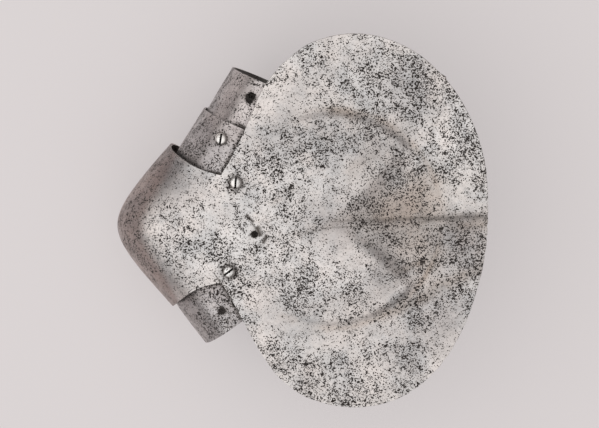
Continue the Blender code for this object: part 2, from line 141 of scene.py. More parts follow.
def set_camera():
    lens = bpy.data.cameras.new("camera")
    lens.lens = CAMERA_LENS
    lens.sensor_width = 36.0
    lens.clip_end = 50.0
    camera = bpy.data.objects.new("camera", lens)
    level = Matrix.Rotation(-CAMERA_ROLL, 3, "Z")
    place = CAMERA_AIM + level @ Vector((0.0, CAMERA_BACK, CAMERA_HEIGHT))
    right = level @ Vector((1.0, 0.0, 0.0))
    back = (place - CAMERA_AIM).normalized()
    turned = Matrix((right, back.cross(right), back)).transposed().to_4x4()
    camera.matrix_world = Matrix.Translation(place) @ turned
    bpy.context.scene.collection.objects.link(camera)
    bpy.context.scene.camera = camera


lay_paper()
light_tent()
set_camera()

# The main plate is one sheet of steel, raised over stakes into a cup over the elbow's
# point, with a plain inner cheek and a broad wing on the outer side. The wing has a round
# boss, a flared border, and a fold and a crease that run out to its front edge.
MM = 0.001
# The plates' drawing is in millimetres: +X from the elbow's point to the wing's front edge,
# +Y along the upper arm's side, +Z out of the wing, and Z = 0 midway between the cheeks.
BOX_CENTRE = Vector((-1.3, 2.6))
CHEEK_Z = 52.0
PLATE_THICK = 1.5
CUP_TIP_X = -116.0
CUP_TIP_RADIUS = 19.0
CUP_HALF_HEIGHT = {1: 49.9, -1: 51.3}
CUP_SPREAD = {1: 1.0, -1: 0.95}
CUP_RIM_BOW = {1: 2.6, -1: 4.4}
CUP_NOSE_TIP = 58.0
CUP_NOSE_RIM = 25.0
CUP_SQUARENESS = 2.5
NECK_BULGE = 6.5
WING_CENTRE = Vector((18.0, 2.0))
WING_OUTLINE = (  # angle in degrees, radius
    (-152.5, 76.8),
    (-146.0, 76.9),
    (-138.0, 79.0),
    (-130.0, 83.3),
    (-120.0, 90.9),
    (-110.0, 100.3),
    (-100.0, 107.6),
    (-85.0, 113.4),
    (-70.0, 114.5),
    (-55.0, 109.6),
    (-40.0, 102.6),
    (-25.0, 97.1),
    (-10.0, 95.3),
    (5.0, 95.6),
    (20.0, 99.8),
    (35.0, 105.0),
    (50.0, 110.8),
    (65.0, 115.4),
    (80.0, 115.8),
    (95.0, 109.8),
    (107.0, 99.8),
    (116.0, 91.0),
    (125.0, 82.0),
    (133.0, 76.4),
    (141.0, 73.6),
    (148.0, 72.4),
    (155.5, 73.2),
)
EDGE_WEAR = 0.4
EDGE_CHIPS = 30.0
CREASE_END_WEAR = 2.5
CREASE_END_ANGLE = 2.0
CREASE_END_SPAN = 13.0
WING_CORNER = 50.0
BOSS_CENTRE = Vector((18.0, 4.0))
BOSS_RADIUS = 66.0
BOSS_HEIGHT = 12.0
BOSS_BACK_POWER = 1.6
BOSS_FRONT_POWER = 1.1
RIDGE_HEIGHT = 0.6
RIDGE_INSET = 4.0
RIDGE_WIDTH = 3.0
FLARE_HEIGHT = 7.0
FLARE_SPAN = 48.0
FLARE_BACK_LOSS = 0.5
FLARE_LOW_LOSS = 0.55
FOLD_START = Vector((9.0, 3.0))
FOLD_ANGLE = {1: math.radians(31.0), -1: math.radians(38.0)}
FOLD_SLANT = {1: 0.62, -1: 0.4}
FOLD_RUN = 13.0
FOLD_SOFTNESS = 9.0
FOLD_DEPTH = 1.5
FOLD_BOSS_LOSS = 0.32
FOLD_EDGE_LOSS = 0.7
CREASE_DROP = 1.7
CREASE_RISE = 0.04
CREASE_DEPTH = 2.3
CREASE_WIDTH = 5.5
CREASE_START = 15.0
CREASE_FULL = 105.0
RAY_START = Vector((32.0, -62.0))
RAY_TOWARD = Vector((76.0, 34.0)).normalized()
RAY_DEPTH = 0.8
RAY_WIDTH = 5.0
LOBE_X = -40.0
LOBE_REACH = 48.0
LOBE_HALF_WIDTH = 37.0
LOBE_SQUARENESS = 2.4
LOBE_TURN = 2.6
FLOOR_Z = -CHEEK_Z - LOBE_TURN
PLATE_ROWS = 150
LOBE_COLUMNS = 24
FLAT_COLUMNS = 10
NOSE_COLUMNS = 44
WING_COLUMNS = 130
PIVOT_UPPER = Vector((-39.6, 27.6))
PIVOT_LOWER = Vector((-45.3, -26.6))
SHANK_RADIUS = 1.8
GAP = 0.3
LACING_HOLE = Vector((-29.2, -4.1))
LACING_RADIUS = 2.15
DRILL_DEPTH = 10.0
EDGE_ROUND = 0.35
FILED_ANGLE = math.radians(50.0)


def ease(low, high, value):
    """0 below low, 1 above high, and a smooth step between them."""
    part = min(max((value - low) / (high - low), 0.0), 1.0)
    return part * part * (3.0 - 2.0 * part)


def read_row(table, position):
    """A table's columns at a position counted in rows, on a smooth curve through them."""
    last = len(table) - 1
    first = min(max(int(position), 0), last - 1)
    part = position - first
    near = [table[min(max(first + step, 0), last)] for step in (-1, 0, 1, 2)]
    return [
        0.5
        * (
            2.0 * start
            + (end - before) * part
            + (2.0 * before - 5.0 * start + 4.0 * end - after) * part**2
            + (3.0 * start - before - 3.0 * end + after) * part**3
        )
        for before, start, end, after in zip(*near)
    ]


def wing_edge(angle):
    """The wing's outline at an angle about its centre, with small chips worn into it."""
    angles = [row[0] for row in WING_OUTLINE]
    first = max(i for i, value in enumerate(angles[:-1]) if value <= angle + 1e-9)
    part = (angle - angles[first]) / (angles[first + 1] - angles[first])
    radius = read_row(WING_OUTLINE, first + part)[1]
    turn = math.radians(angle)
    way = Vector((math.cos(turn), math.sin(turn)))
    off_crease = (angle - CREASE_END_ANGLE) / CREASE_END_SPAN
    chipped = 1.0 + CREASE_END_WEAR * math.exp(-(off_crease**2))
    radius -= EDGE_WEAR * chipped * max(noise.noise(way.to_3d() * EDGE_CHIPS), 0.0)
    return WING_CENTRE + radius * way


def fold_share(plan):
    """0 outside the fold, rising from its two sides toward 1 within."""
    along, off = plan.x - FOLD_START.x, plan.y - FOLD_START.y
    if along <= 0.0:
        return 0.0
    half = 1 if off > 0.0 else -1
    width = along * math.tan(FOLD_ANGLE[half])
    inside = FOLD_SLANT[half] * along * max(1.0 - abs(off) / width, 0.0)
    return 1.0 - math.exp(-(inside**2) / (inside + FOLD_SOFTNESS) / FOLD_RUN)


def wing_relief(plan):
    """How far the wing stands above the flat of the cheek."""
    across = plan - BOSS_CENTRE
    reach = across.length
    backward = ease(0.2, 0.9, -across.x / max(reach, 1e-6))
    forward = ease(0.7, 0.9, across.x / max(reach, 1e-6))
    rise = max(1.0 - (reach / BOSS_RADIUS) ** 2, 0.0)
    boss = BOSS_HEIGHT * rise ** (1.0 + BOSS_BACK_POWER * backward + BOSS_FRONT_POWER * forward)
    off_ridge = (reach - BOSS_RADIUS + RIDGE_INSET) / RIDGE_WIDTH
    boss += RIDGE_HEIGHT * math.exp(-(off_ridge**2)) * (1.0 - backward) * (1.0 - forward)
    border = max(reach - BOSS_RADIUS, 0.0) / FLARE_SPAN
    flare = FLARE_HEIGHT * border**1.5 * (1.0 - FLARE_BACK_LOSS * backward)
    below = FOLD_START.y - plan.y
    above_ray = RAY_TOWARD.cross(plan - RAY_START)
    flare *= 1.0 - FLARE_LOW_LOSS * ease(-2.0, 6.0, below) * ease(-6.0, 6.0, above_ray)
    fold = fold_share(plan)
    dip = FOLD_DEPTH * fold * (1.0 - FOLD_EDGE_LOSS * ease(0.0, 0.6, border))
    below_crease = below - CREASE_DROP + CREASE_RISE * (plan.x - FOLD_START.x)
    crease = CREASE_DEPTH * math.exp(-abs(below_crease) / CREASE_WIDTH)
    crease *= ease(CREASE_START, CREASE_FULL, plan.x - FOLD_START.x)
    ray = RAY_DEPTH * math.exp(-abs(above_ray) / RAY_WIDTH)
    ray *= ease(0.0, 20.0, RAY_TOWARD.dot(plan - RAY_START))
    return boss * (1.0 - FOLD_BOSS_LOSS * fold) + flare - dip - crease - ray


def squared_round(part, squareness):
    """Run and rise, 0 to 1, a share of the way round a quarter of a squared ellipse."""
    turn = 0.5 * math.pi * part
    power = 2.0 / squareness
    return 1.0 - math.cos(turn) ** power, math.sin(turn) ** power


def nose_or_flat(step, nose_columns, flat_columns):
    """Where a column lies, counted from the back edge: how far along, and if on the nose."""
    if step <= nose_columns:
        return step / nose_columns, True
    return (step - nose_columns) / flat_columns, False


def neck_point(side):
    """The line between cup and wing, from its lower notch at -1 to its upper notch at 1."""
    up, down = wing_edge(WING_OUTLINE[-1][0]), wing_edge(WING_OUTLINE[0][0])
    bulge = Vector((NECK_BULGE * (1.0 - side * side), 0.0))
    return (up + down) / 2 + (up - down) / 2 * side + bulge


def cup_point(side, part, on_nose):
    """A point of the cup's outer half: round its nose, or on the flat behind it."""
    half = 1 if side > 0 else -1
    y = side * CUP_HALF_HEIGHT[half]
    x = CUP_TIP_X - CUP_TIP_RADIUS + math.hypot(CUP_TIP_RADIUS, CUP_SPREAD[half] * y)
    back = Vector((x, y))
    chord = neck_point(side) - back
    nose = CUP_NOSE_RIM + (CUP_NOSE_TIP - CUP_NOSE_RIM) * (1.0 - side * side)
    if on_nose:
        run, rise = squared_round(part, CUP_SQUARENESS)
        along = nose * run / chord.length
    else:
        rise = 1.0
        along = (nose + (chord.length - nose) * part) / chord.length
    inward = Vector((chord.y, -chord.x)).normalized()
    bow = CUP_RIM_BOW[half] * side * abs(side) * 4.0 * along * (1.0 - along)
    return (*(back + chord * along + inward * bow), CHEEK_Z * rise)


def wing_runs():
    """The four sides of the wing: neck and front edge by row, top and bottom by column."""
    share = [row / PLATE_ROWS for row in range(PLATE_ROWS + 1)]
    reach = [column / WING_COLUMNS for column in range(WING_COLUMNS + 1)]
    top, bottom = WING_OUTLINE[-1][0], WING_OUTLINE[0][0]
    return (
        [neck_point(2.0 * part - 1.0) for part in share],
        [wing_edge(WING_CORNER * (2.0 * part - 1.0)) for part in share],
        [wing_edge(top + (WING_CORNER - top) * part) for part in reach],
        [wing_edge(bottom + (-WING_CORNER - bottom) * part) for part in reach],
    )


def lobe_point(side, part):
    """A point of the inner cheek's lobe, from the neck to its rounded front."""
    turn = 0.5 * math.pi * side
    power = 2.0 / LOBE_SQUARENESS
    rise = LOBE_HALF_WIDTH * math.copysign(abs(math.sin(turn)) ** power, side)
    front = Vector((LOBE_X + LOBE_REACH * max(math.cos(turn), 0.0) ** power, rise))
    plan = neck_point(side).lerp(front, part)
    turned = LOBE_TURN * ease(0.3, 1.0, part) * (1.0 - ease(0.5, 0.95, abs(side)))
    return (*plan, -CHEEK_Z - turned)


NECK_RUN, FRONT_RUN, TOP_RUN, BOTTOM_RUN = wing_runs()


def wing_point(column, row):
    """A point of the wing, blended between its four sides."""
    part, share = column / WING_COLUMNS, row / PLATE_ROWS
    plan = NECK_RUN[row] * (1.0 - part) + FRONT_RUN[row] * part
    plan = plan + BOTTOM_RUN[column] * (1.0 - share) + TOP_RUN[column] * share
    plan -= (NECK_RUN[0] * (1.0 - share) + NECK_RUN[-1] * share) * (1.0 - part)
    plan -= (FRONT_RUN[0] * (1.0 - share) + FRONT_RUN[-1] * share) * part
    return (*plan, CHEEK_Z + wing_relief(plan))


def plate_point(column, row):
    """The outer face of the main plate: lobe, inner half of the cup, outer half, wing."""
    side = 2.0 * row / PLATE_ROWS - 1.0
    if column <= LOBE_COLUMNS:
        return lobe_point(side, 1.0 - column / LOBE_COLUMNS)
    half = FLAT_COLUMNS + NOSE_COLUMNS
    step = column - LOBE_COLUMNS - half
    if step > half:
        return wing_point(step - half, row)
    x, y, z = cup_point(side, *nose_or_flat(abs(step), NOSE_COLUMNS, FLAT_COLUMNS))
    return x, y, math.copysign(z, step)


def own_frame(x, y, z):
    """From the plates' drawing, in millimetres, to the object's own frame, in metres."""
    return Vector((x - BOX_CENTRE.x, y - BOX_CENTRE.y, z - FLOOR_Z)) * MM


def place_object(name, shape, finishes, finish=0):
    """An object at the origin with the bmesh's shape, shaded smooth, all in one finish."""
    for face in shape.faces:
        face.material_index = finish
    mesh = bpy.data.meshes.new(name)
    shape.to_mesh(mesh)
    shape.free()
    mesh.shade_smooth()
    for material in finishes:
        mesh.materials.append(material)
    made = bpy.data.objects.new(name, mesh)
    bpy.context.scene.collection.objects.link(made)
    return made


def cut_away(piece, name, tool):
    """Cuts with a tool whose faces carry the second, dark finish: painted shade on hole and slot
    walls.
    """
    cut = piece.modifiers.new(name, "BOOLEAN")
    cut.operation = "DIFFERENCE"
    cut.object = tool


def settle(piece, tool):
    """Makes a piece's modifiers part of its mesh, and takes the cutting tool away."""
    seen = piece.evaluated_get(bpy.context.evaluated_depsgraph_get())
    mesh = bpy.data.meshes.new_from_object(seen)
    piece.modifiers.clear()
    piece.data = mesh
    mesh.name = piece.name
    bpy.data.objects.remove(tool)


def drill(places, depth, finishes, sides=32):
    """One cutting tool with a round bar at each place, given as frame and radius."""
    bars = bmesh.new()
    for middle, radius in places:
        bmesh.ops.create_cone(
            bars,
            cap_ends=True,
            segments=sides,
            radius1=radius * MM,
            radius2=radius * MM,
            depth=depth * MM,
            matrix=middle,
        )
    return place_object("drill", bars, finishes, 1)


def steel_sheet(name, columns, rows, point, dents, thickness, tool, finishes):
    """A plate from its outer face: beaten, given its thickness, drilled, edges filed round."""
    face = bmesh.new()
    bmesh.ops.create_grid(face, x_segments=columns, y_segments=rows, size=0.5)
    for vertex in face.verts:
        column = round((vertex.co.x + 0.5) * columns)
        row = round((vertex.co.y + 0.5) * rows)
        vertex.co = own_frame(*point(column, row))
    face.normal_update()
    shifts = [vertex.normal * dents(vertex.co) for vertex in face.verts]
    for vertex, shift in zip(face.verts, shifts):
        vertex.co += shift
    plate = place_object(name, face, finishes)
    wall = plate.modifiers.new("thickness", "SOLIDIFY")
    wall.thickness = thickness * MM
    wall.offset = -1.0
    wall.material_offset = 1
    cut_away(plate, "holes", tool)
    filed = plate.modifiers.new("filed", "BEVEL")
    filed.width = EDGE_ROUND * MM
    filed.segments = 2
    filed.limit_method = "ANGLE"
    filed.angle_limit = FILED_ANGLE
    settle(plate, tool)
    return plate


HAMMER_MARKS = ((24.0, 0.22), (7.5, 0.03))  # size across, depth
SEAT_SHARE = 0.12
BEDDED_HEIGHT = 4.0


def hammered(place):
    """Shallow unevenness left by the hammer, kept off the seats of other pieces."""
    x, y, z = place / MM
    if z < BEDDED_HEIGHT:
        return 0.0
    free = max(ease(-25.0, 15.0, x), ease(-70.0, -95.0, x))
    marks = sum(depth * noise.noise(Vector((x, y, z)) / size) for size, depth in HAMMER_MARKS)
    return marks * (SEAT_SHARE + (1.0 - SEAT_SHARE) * free) * MM


def straight_hole(place, z, radius):
    return Matrix.Translation(own_frame(*place, z)), radius


def add_node(tree, kind, sockets=(), **settings):
    """A shader node, with its settings and with values or links on its sockets."""
    node = tree.nodes.new(kind)
    for name, value in settings.items():
        setattr(node, name, value)
    for key, value in dict(sockets).items():
        if isinstance(value, bpy.types.NodeSocket):
            tree.links.new(value, node.inputs[key])
        else:
            node.inputs[key].default_value = value
    return node


def reckon(tree, operation, first, second=0.0, third=0.0, clamp=False):
    sockets = {0: first, 1: second, 2: third}
    node = add_node(tree, "ShaderNodeMath", sockets, operation=operation, use_clamp=clamp)
    return node.outputs[0]


def blend_colour(tree, share, first, second, kind="MIX"):
    sockets = {0: share, 6: first, 7: second}
    node = add_node(tree, "ShaderNodeMix", sockets, data_type="RGBA", blend_type=kind)
    return node.outputs[2]


def ramp(tree, value, low, high, to_low=0.0, to_high=1.0):
    sockets = {0: value, 1: low, 2: high, 3: to_low, 4: to_high}
    node = add_node(tree, "ShaderNodeMapRange", sockets, interpolation_type="SMOOTHSTEP")
    return node.outputs[0]


def cloud(tree, coords, scale, detail=3.0, roughness=0.5):
    sockets = {"Vector": coords, "Scale": scale, "Detail": detail, "Roughness": roughness}
    return add_node(tree, "ShaderNodeTexNoise", sockets).outputs["Fac"]


PIT_COLOUR = (0.022, 0.016, 0.013, 1.0)
RIM_COLOUR = (0.85, 0.83, 0.81, 1.0)
RUST_COLOUR = (0.24, 0.175, 0.135, 1.0)
STAIN_SHADE_COLOUR = (0.6, 0.53, 0.47, 1.0)
DULL_COLOUR = (0.6, 0.6, 0.61, 1.0)
PATINA_SHADE_COLOUR = (0.66, 0.58, 0.56, 1.0)
GRIME_SHADE_COLOUR = (0.07, 0.055, 0.045, 1.0)
COOL_COLOUR = (0.93, 0.96, 0.98, 1.0)
# Pits of each size: cells a metre, the level a pit passes where they are few and where
# they crowd, and how soft its edge is.
PIT_SIZES = (
    (1500.0, 0.8, 0.66, 0.02),
    (1250.0, 0.79, 0.65, 0.02),
    (1050.0, 0.79, 0.65, 0.018),
    (860.0, 0.81, 0.66, 0.016),
    (700.0, 0.84, 0.68, 0.014),
    (560.0, 0.88, 0.71, 0.013),
    (420.0, 0.92, 0.75, 0.012),
    (280.0, 0.98, 0.795, 0.01),
)
NO_PIT = -9.0
# Noise of each kind: cells a metre, detail, roughness.
BROAD_CLOUDS = (32.0, 4.0, 0.6)
CLOSE_CLOUDS = (120.0, 3.0, 0.6)
KNOTS = (300.0, 2.0, 0.5)
TONES = (48.0, 5.0, 0.6)
GRAIN = (850.0, 3.0, 0.6)
MOTTLE = (480.0, 3.0, 0.7)
WANDER = (150.0, 3.0, 0.6)
# How far each cause crowds the pits.
KNOT_SHARE = 0.5
CROWD_VARIES = 0.52
CROWD_LEAST = 0.22
PAINTED_SHARE = 0.6
GRIME_SHADE_SHARE = 0.5
# How far rims, haze, dirt with painted shade, and pits change the surface.
RIM_SHARE = 0.3
HAZE_SHARE = 0.18
METAL_LOSS = 0.8
MATT_GAIN = 0.3
GRAIN_HEIGHT = 0.3
BUMP_STRENGTH = 0.5
BUMP_DEPTH = 0.0002
LINE_BEND = 1.5
LINE_END = 0.15


def pit_depth(tree, coords, crowd):
    """How far rust has eaten in: above 0 in a pit, and a little below 0 on its rim."""
    depth = NO_PIT
    for scale, few, crowded, edge in PIT_SIZES:
        level = ramp(tree, crowd, 0.0, 1.0, few, crowded)
        over = reckon(tree, "SUBTRACT", cloud(tree, coords, scale, 0.0), level)
        depth = reckon(tree, "MAXIMUM", reckon(tree, "DIVIDE", over, edge), depth)
    return depth


def drawn_line(tree, place, start, end, width):
    """The share of a thin line on the outer side, from start to end on the drawing."""
    first, last = own_frame(*start, 0.0), own_frame(*end, 0.0)
    run = last - first
    length, toward = run.length, run.normalized()
    off = add_node(tree, "ShaderNodeVectorMath", {0: place, 1: first}, operation="SUBTRACT")
    along, across = [
        add_node(
            tree, "ShaderNodeVectorMath", {0: off.outputs[0], 1: way}, operation="DOT_PRODUCT"
        ).outputs[1]
        for way in (toward, Vector((-toward.y, toward.x, 0.0)))
    ]
    bend = reckon(tree, "SUBTRACT", cloud(tree, place, *WANDER), 0.5)
    across = reckon(tree, "MULTIPLY_ADD", bend, LINE_BEND * width * MM, across)
    line = ramp(tree, reckon(tree, "ABSOLUTE", across), 0.0, width * MM, 1.0, 0.0)
    for low, high in ((0.0, LINE_END), (1.0, 1.0 - LINE_END)):
        line = reckon(tree, "MULTIPLY", line, ramp(tree, along, low * length, high * length))
    height = add_node(tree, "ShaderNodeSeparateXYZ", {0: place}).outputs[2]
    middle = -FLOOR_Z * MM
    return reckon(tree, "MULTIPLY", line, ramp(tree, height, middle, 1.2 * middle))


def pitted_steel(name, light, dark, roughness, pitting, scores_and_shade=()):
    """Old worked steel: satin, clouded, with rust pits in crowds of every size."""
    finish = bpy.data.materials.new(name)
    finish.use_nodes = True
    tree = finish.node_tree
    shader = tree.nodes["Principled BSDF"]
    place = add_node(tree, "ShaderNodeTexCoord").outputs["Object"]
    stain_shade, grime_shade, patina_shade, dull, painted_crowd = [
        add_node(tree, "ShaderNodeAttribute", attribute_name=layer).outputs["Fac"]
        for layer in ("stain_shade", "grime_shade", "patina_shade", "dull", "crowd")
    ]

    broad = cloud(tree, place, *BROAD_CLOUDS)
    close = cloud(tree, place, *CLOSE_CLOUDS)
    knots = cloud(tree, place, *KNOTS)
    crowd = reckon(tree, "MULTIPLY", ramp(tree, broad, 0.3, 0.62), ramp(tree, close, 0.34, 0.6))
    crowd = reckon(tree, "MULTIPLY_ADD", ramp(tree, knots, 0.44, 0.62), KNOT_SHARE, crowd)
    crowd = reckon(tree, "MULTIPLY_ADD", crowd, CROWD_VARIES * pitting, CROWD_LEAST * pitting)
    crowd = reckon(tree, "MULTIPLY_ADD", painted_crowd, PAINTED_SHARE, crowd)
    crowd = reckon(tree, "MULTIPLY_ADD", grime_shade, GRIME_SHADE_SHARE, crowd, clamp=True)
    depth = pit_depth(tree, place, crowd)
    pits = reckon(tree, "ADD", depth, 0.0, clamp=True)
    rims = reckon(tree, "MULTIPLY_ADD", depth, 0.6, 1.0, clamp=True)
    rims = reckon(tree, "SUBTRACT", rims, pits, clamp=True)

    tone = cloud(tree, place, *TONES)
    grain = cloud(tree, place, *GRAIN)
    mottle = ramp(tree, cloud(tree, place, *MOTTLE), 0.4, 0.66)
    colour = blend_colour(tree, ramp(tree, tone, 0.3, 0.7), dark, light)
    colour = blend_colour(tree, ramp(tree, broad, 0.4, 0.6), colour, COOL_COLOUR, "MULTIPLY")
    colour = blend_colour(tree, 1.0, colour, ramp(tree, grain, 0.25, 0.75, 0.9, 1.08), "MULTIPLY")
    colour = blend_colour(tree, reckon(tree, "MULTIPLY", rims, RIM_SHARE), colour, RIM_COLOUR)
    # Steep sides: old brown patina, and painted shade of the dim surroundings they reflect.
    colour = blend_colour(tree, patina_shade, colour, PATINA_SHADE_COLOUR, "MULTIPLY")
    colour = blend_colour(tree, dull, colour, DULL_COLOUR, "MULTIPLY")
    # Brown stain, with painted shade in the fold, the boss's valley, the ray groove and the
    # streaks.
    brown = reckon(tree, "MULTIPLY", stain_shade, ramp(tree, tone, 0.3, 0.65, 0.6, 1.0))
    colour = blend_colour(tree, brown, colour, STAIN_SHADE_COLOUR, "MULTIPLY")
    haze = reckon(tree, "MULTIPLY", reckon(tree, "MULTIPLY", crowd, mottle), HAZE_SHARE)
    colour = blend_colour(tree, haze, colour, RUST_COLOUR)
    # This darkening is dirt and painted shade: round screw heads, in holes, under covering rims.
    dirt_and_shade = reckon(tree, "MULTIPLY", grime_shade, ramp(tree, mottle, 0.0, 1.0, 0.55, 0.95), clamp=True)
    # Dark lines: old scratches and gouges, and dirt with painted shade along the crease.
    for start, end, width, share in scores_and_shade:
        line = drawn_line(tree, place, start, end, width)
        dirt_and_shade = reckon(tree, "MAXIMUM", dirt_and_shade, reckon(tree, "MULTIPLY", line, share))
    colour = blend_colour(tree, dirt_and_shade, colour, GRIME_SHADE_COLOUR)
    colour = blend_colour(tree, pits, colour, PIT_COLOUR)
    tree.links.new(colour, shader.inputs["Base Color"])

    matt = reckon(tree, "MAXIMUM", pits, dirt_and_shade)
    metal = reckon(tree, "MULTIPLY_ADD", matt, -METAL_LOSS, 1.0)
    tree.links.new(metal, shader.inputs["Metallic"])
    satin = ramp(tree, close, 0.3, 0.7, roughness - 0.05, roughness + 0.07)
    rough = reckon(tree, "MULTIPLY_ADD", matt, MATT_GAIN, satin)
    tree.links.new(rough, shader.inputs["Roughness"])
    rise = reckon(tree, "MULTIPLY", grain, GRAIN_HEIGHT)
    height = reckon(tree, "MULTIPLY_ADD", pits, -1.0, rise)
    sockets = {"Strength": BUMP_STRENGTH, "Distance": BUMP_DEPTH, "Height": height}
    bump = add_node(tree, "ShaderNodeBump", sockets)
    tree.links.new(bump.outputs[0], shader.inputs["Normal"])
    return finish


PLATE_LIGHT = (0.75, 0.695, 0.66, 1.0)
PLATE_DARK = (0.57, 0.545, 0.53, 1.0)
INSIDE_LIGHT = (0.27, 0.25, 0.235, 1.0)
INSIDE_DARK = (0.14, 0.127, 0.12, 1.0)
# Old marks: start, end, half width, darkness. Rows 1-5 are dirt and painted shade on the crease.
SCORES_AND_CREASE_SHADE = (
    ((14.0, 3.1), (56.0, 3.5), 0.9, 0.3),
    ((10.0, -0.6), (54.0, 0.6), 1.0, 0.3),
    ((36.0, 2.0), (82.0, 3.2), 2.0, 0.35),
    ((70.0, 1.8), (120.0, 3.2), 3.6, 0.5),
    ((88.0, 4.8), (120.0, 5.6), 0.8, 0.3),
    ((20.0, 0.0), (-6.0, -5.0), 1.4, 0.1),
    ((-34.0, 8.6), (-29.4, 2.6), 1.6, 0.85),
    ((-31.2, 3.4), (-28.6, -0.2), 1.1, 0.6),
    ((-28.2, 1.2), (-25.0, -5.6), 2.8, 0.95),
    ((-21.2, -4.0), (-24.8, -10.0), 1.9, 0.9),
    ((-56.0, -26.0), (-49.0, -35.0), 0.7, 0.6),
)
plate_steel = pitted_steel(
    "plate_steel", PLATE_LIGHT, PLATE_DARK, roughness=0.4, pitting=1.0, scores_and_shade=SCORES_AND_CREASE_SHADE
)
# Dark inside finish: steel left black inside, and painted shade on hole walls and in openings.
inside_steel = pitted_steel(
    "inside_steel", INSIDE_LIGHT, INSIDE_DARK, roughness=0.6, pitting=0.7
)
PLATE_FINISHES = (plate_steel, inside_steel)
pivot_radius = SHANK_RADIUS + GAP
plate_holes = [
    straight_hole(place, side * CHEEK_Z, pivot_radius)
    for place in (PIVOT_UPPER, PIVOT_LOWER)
    for side in (1, -1)
]
plate_holes.append(straight_hole(LACING_HOLE, CHEEK_Z, LACING_RADIUS))
main_plate = steel_sheet(
    "couter_plate",
    LOBE_COLUMNS + 2 * (FLAT_COLUMNS + NOSE_COLUMNS) + WING_COLUMNS,
    PLATE_ROWS,
    plate_point,
    hammered,
    PLATE_THICK,
    drill(plate_holes, DRILL_DEPTH, PLATE_FINISHES),
    PLATE_FINISHES,
)

# Below these heights the sides get old brown and painted shade of the dim surroundings.
PATINA_SHADE_FULL = 39.0
PATINA_SHADE_END = 45.0
# Where pits gather, or keep away where the last number is below 0: x, y, reach, share.
CROWDS = (
    (77.0, 84.0, 15.0, 0.5),
    (45.0, 95.0, 16.0, 0.25),
    (-8.0, 92.0, 9.0, 0.25),
    (99.0, 45.0, 18.0, 0.35),
    (35.0, 11.0, 12.0, 0.45),
    (-3.0, -37.0, 14.0, 0.5),
    (29.0, -42.0, 9.0, 0.3),
    (25.0, -58.0, 10.0, 0.4),
    (3.0, 48.0, 14.0, 0.4),
    (-21.0, 39.0, 9.0, 0.35),
    (47.0, 58.0, 13.0, 0.25),
    (62.0, 27.0, 12.0, 0.3),
    (-8.0, 11.0, 8.0, 0.3),
    (-41.0, -38.0, 12.0, 0.5),
    (-22.0, -78.0, 12.0, 0.5),
    (5.0, -98.0, 17.0, 0.4),
    (47.0, -101.0, 15.0, 0.35),
    (100.0, -22.0, 20.0, 0.35),
    (60.0, -16.0, 14.0, 0.4),
    (77.0, -59.0, 12.0, 0.3),
    (-86.0, -2.0, 11.0, 0.25),
    (-2.0, 82.0, 10.0, -0.2),
    (-17.0, 62.0, 12.0, -0.2),
    (26.0, 33.0, 11.0, -0.5),
    (8.0, 19.0, 8.0, -0.4),
    (20.0, -8.0, 12.0, -0.55),
    (-17.0, -60.0, 11.0, -0.6),
    (6.0, -68.0, 12.0, -0.5),
    (92.0, 11.0, 11.0, -0.5),
    (86.0, -29.0, 8.0, -0.4),
    (86.0, -69.0, 9.0, -0.4),
    (48.0, -43.0, 8.0, -0.4),
    (-53.0, 11.0, 8.0, -0.2),
    (-29.0, 17.0, 9.0, -0.3),
    (-29.2, -4.1, 5.0, -0.8),
    (-70.0, -4.0, 14.0, 0.25),
    (100.0, -9.0, 9.0, 0.45),
    (48.0, 14.0, 9.0, 0.3),
    (104.0, 9.0, 5.0, -0.5),
    (-28.0, -10.5, 4.0, 0.5),
)
# Grey tarnish and painted shade: x, y, reach, share.
TARNISH_AND_SHADE = (
    (68.0, 82.0, 26.0, 0.75),
    (98.0, -12.0, 18.0, 1.1),
    (82.0, -57.0, 22.0, 0.85),
    (99.0, -5.0, 8.0, 0.45),
    (101.0, 11.0, 7.0, -0.4),
    (3.0, 62.0, 18.0, 0.25),
    (-6.0, -60.0, 16.0, 0.3),
    (62.0, -78.0, 18.0, 0.35),
    (15.0, 2.0, 20.0, 0.8),
    (46.0, -31.0, 9.0, 0.6),
    (24.0, -9.0, 9.0, 0.2),
    (13.0, 88.0, 20.0, 0.25),
    (-14.0, 48.0, 20.0, 0.5),
    (-22.0, -45.0, 18.0, 0.3),
    (20.0, -85.0, 30.0, 0.25),
    (-78.0, 31.0, 17.0, 1.1),
    (-76.0, -32.0, 14.0, 0.4),
)
# Brown streaks, stain and painted shade: start, end, half width, share.
STREAKS = (
    ((20.0, 0.5), (-10.0, -4.0), 3.0, 0.25),
    ((54.0, -31.0), (77.0, -22.0), 2.2, 0.6),
    ((48.0, -57.0), (82.0, -44.0), 2.6, 0.45),
    ((24.0, 30.0), (50.0, 47.0), 4.0, 0.3),
    ((58.0, 34.0), (80.0, 23.0), 4.0, 0.2),
    ((84.0, -2.0), (124.0, -1.0), 4.0, 0.5),
    ((17.0, 70.0), (42.0, 64.0), 2.4, 0.5),
    ((-22.0, 12.0), (0.0, 26.0), 3.0, 0.25),
    ((-20.0, -52.0), (14.0, -66.0), 3.0, 0.25),
)
# The fold is brown, stain and painted shade, up to where this share fades, between two places
# along X.
FOLD_STAIN_SHADE_LOSS = 0.75
FOLD_STAIN_SHADE_FADE = (70.0, 94.0)
# Brown lines of stain and painted shade in the boss's valley: share, distance outside the boss,
# reach.
VALLEY_LINES = ((0.55, 1.0, 1.8), (0.15, 2.0, 6.0))
RAY_STAIN_SHADE = 0.5
RAY_STAIN_SHADE_REACH = 4.0
# Dirt and painted shade round the screw heads, painted shade in the lacing hole: place, reach,
# spread.
DIRT_AND_SHADE_SPOTS = (
    (PIVOT_UPPER, 4.0, 1.1),
    (PIVOT_LOWER, 4.0, 1.1),
    (LACING_HOLE, LACING_RADIUS, 0.4),
)


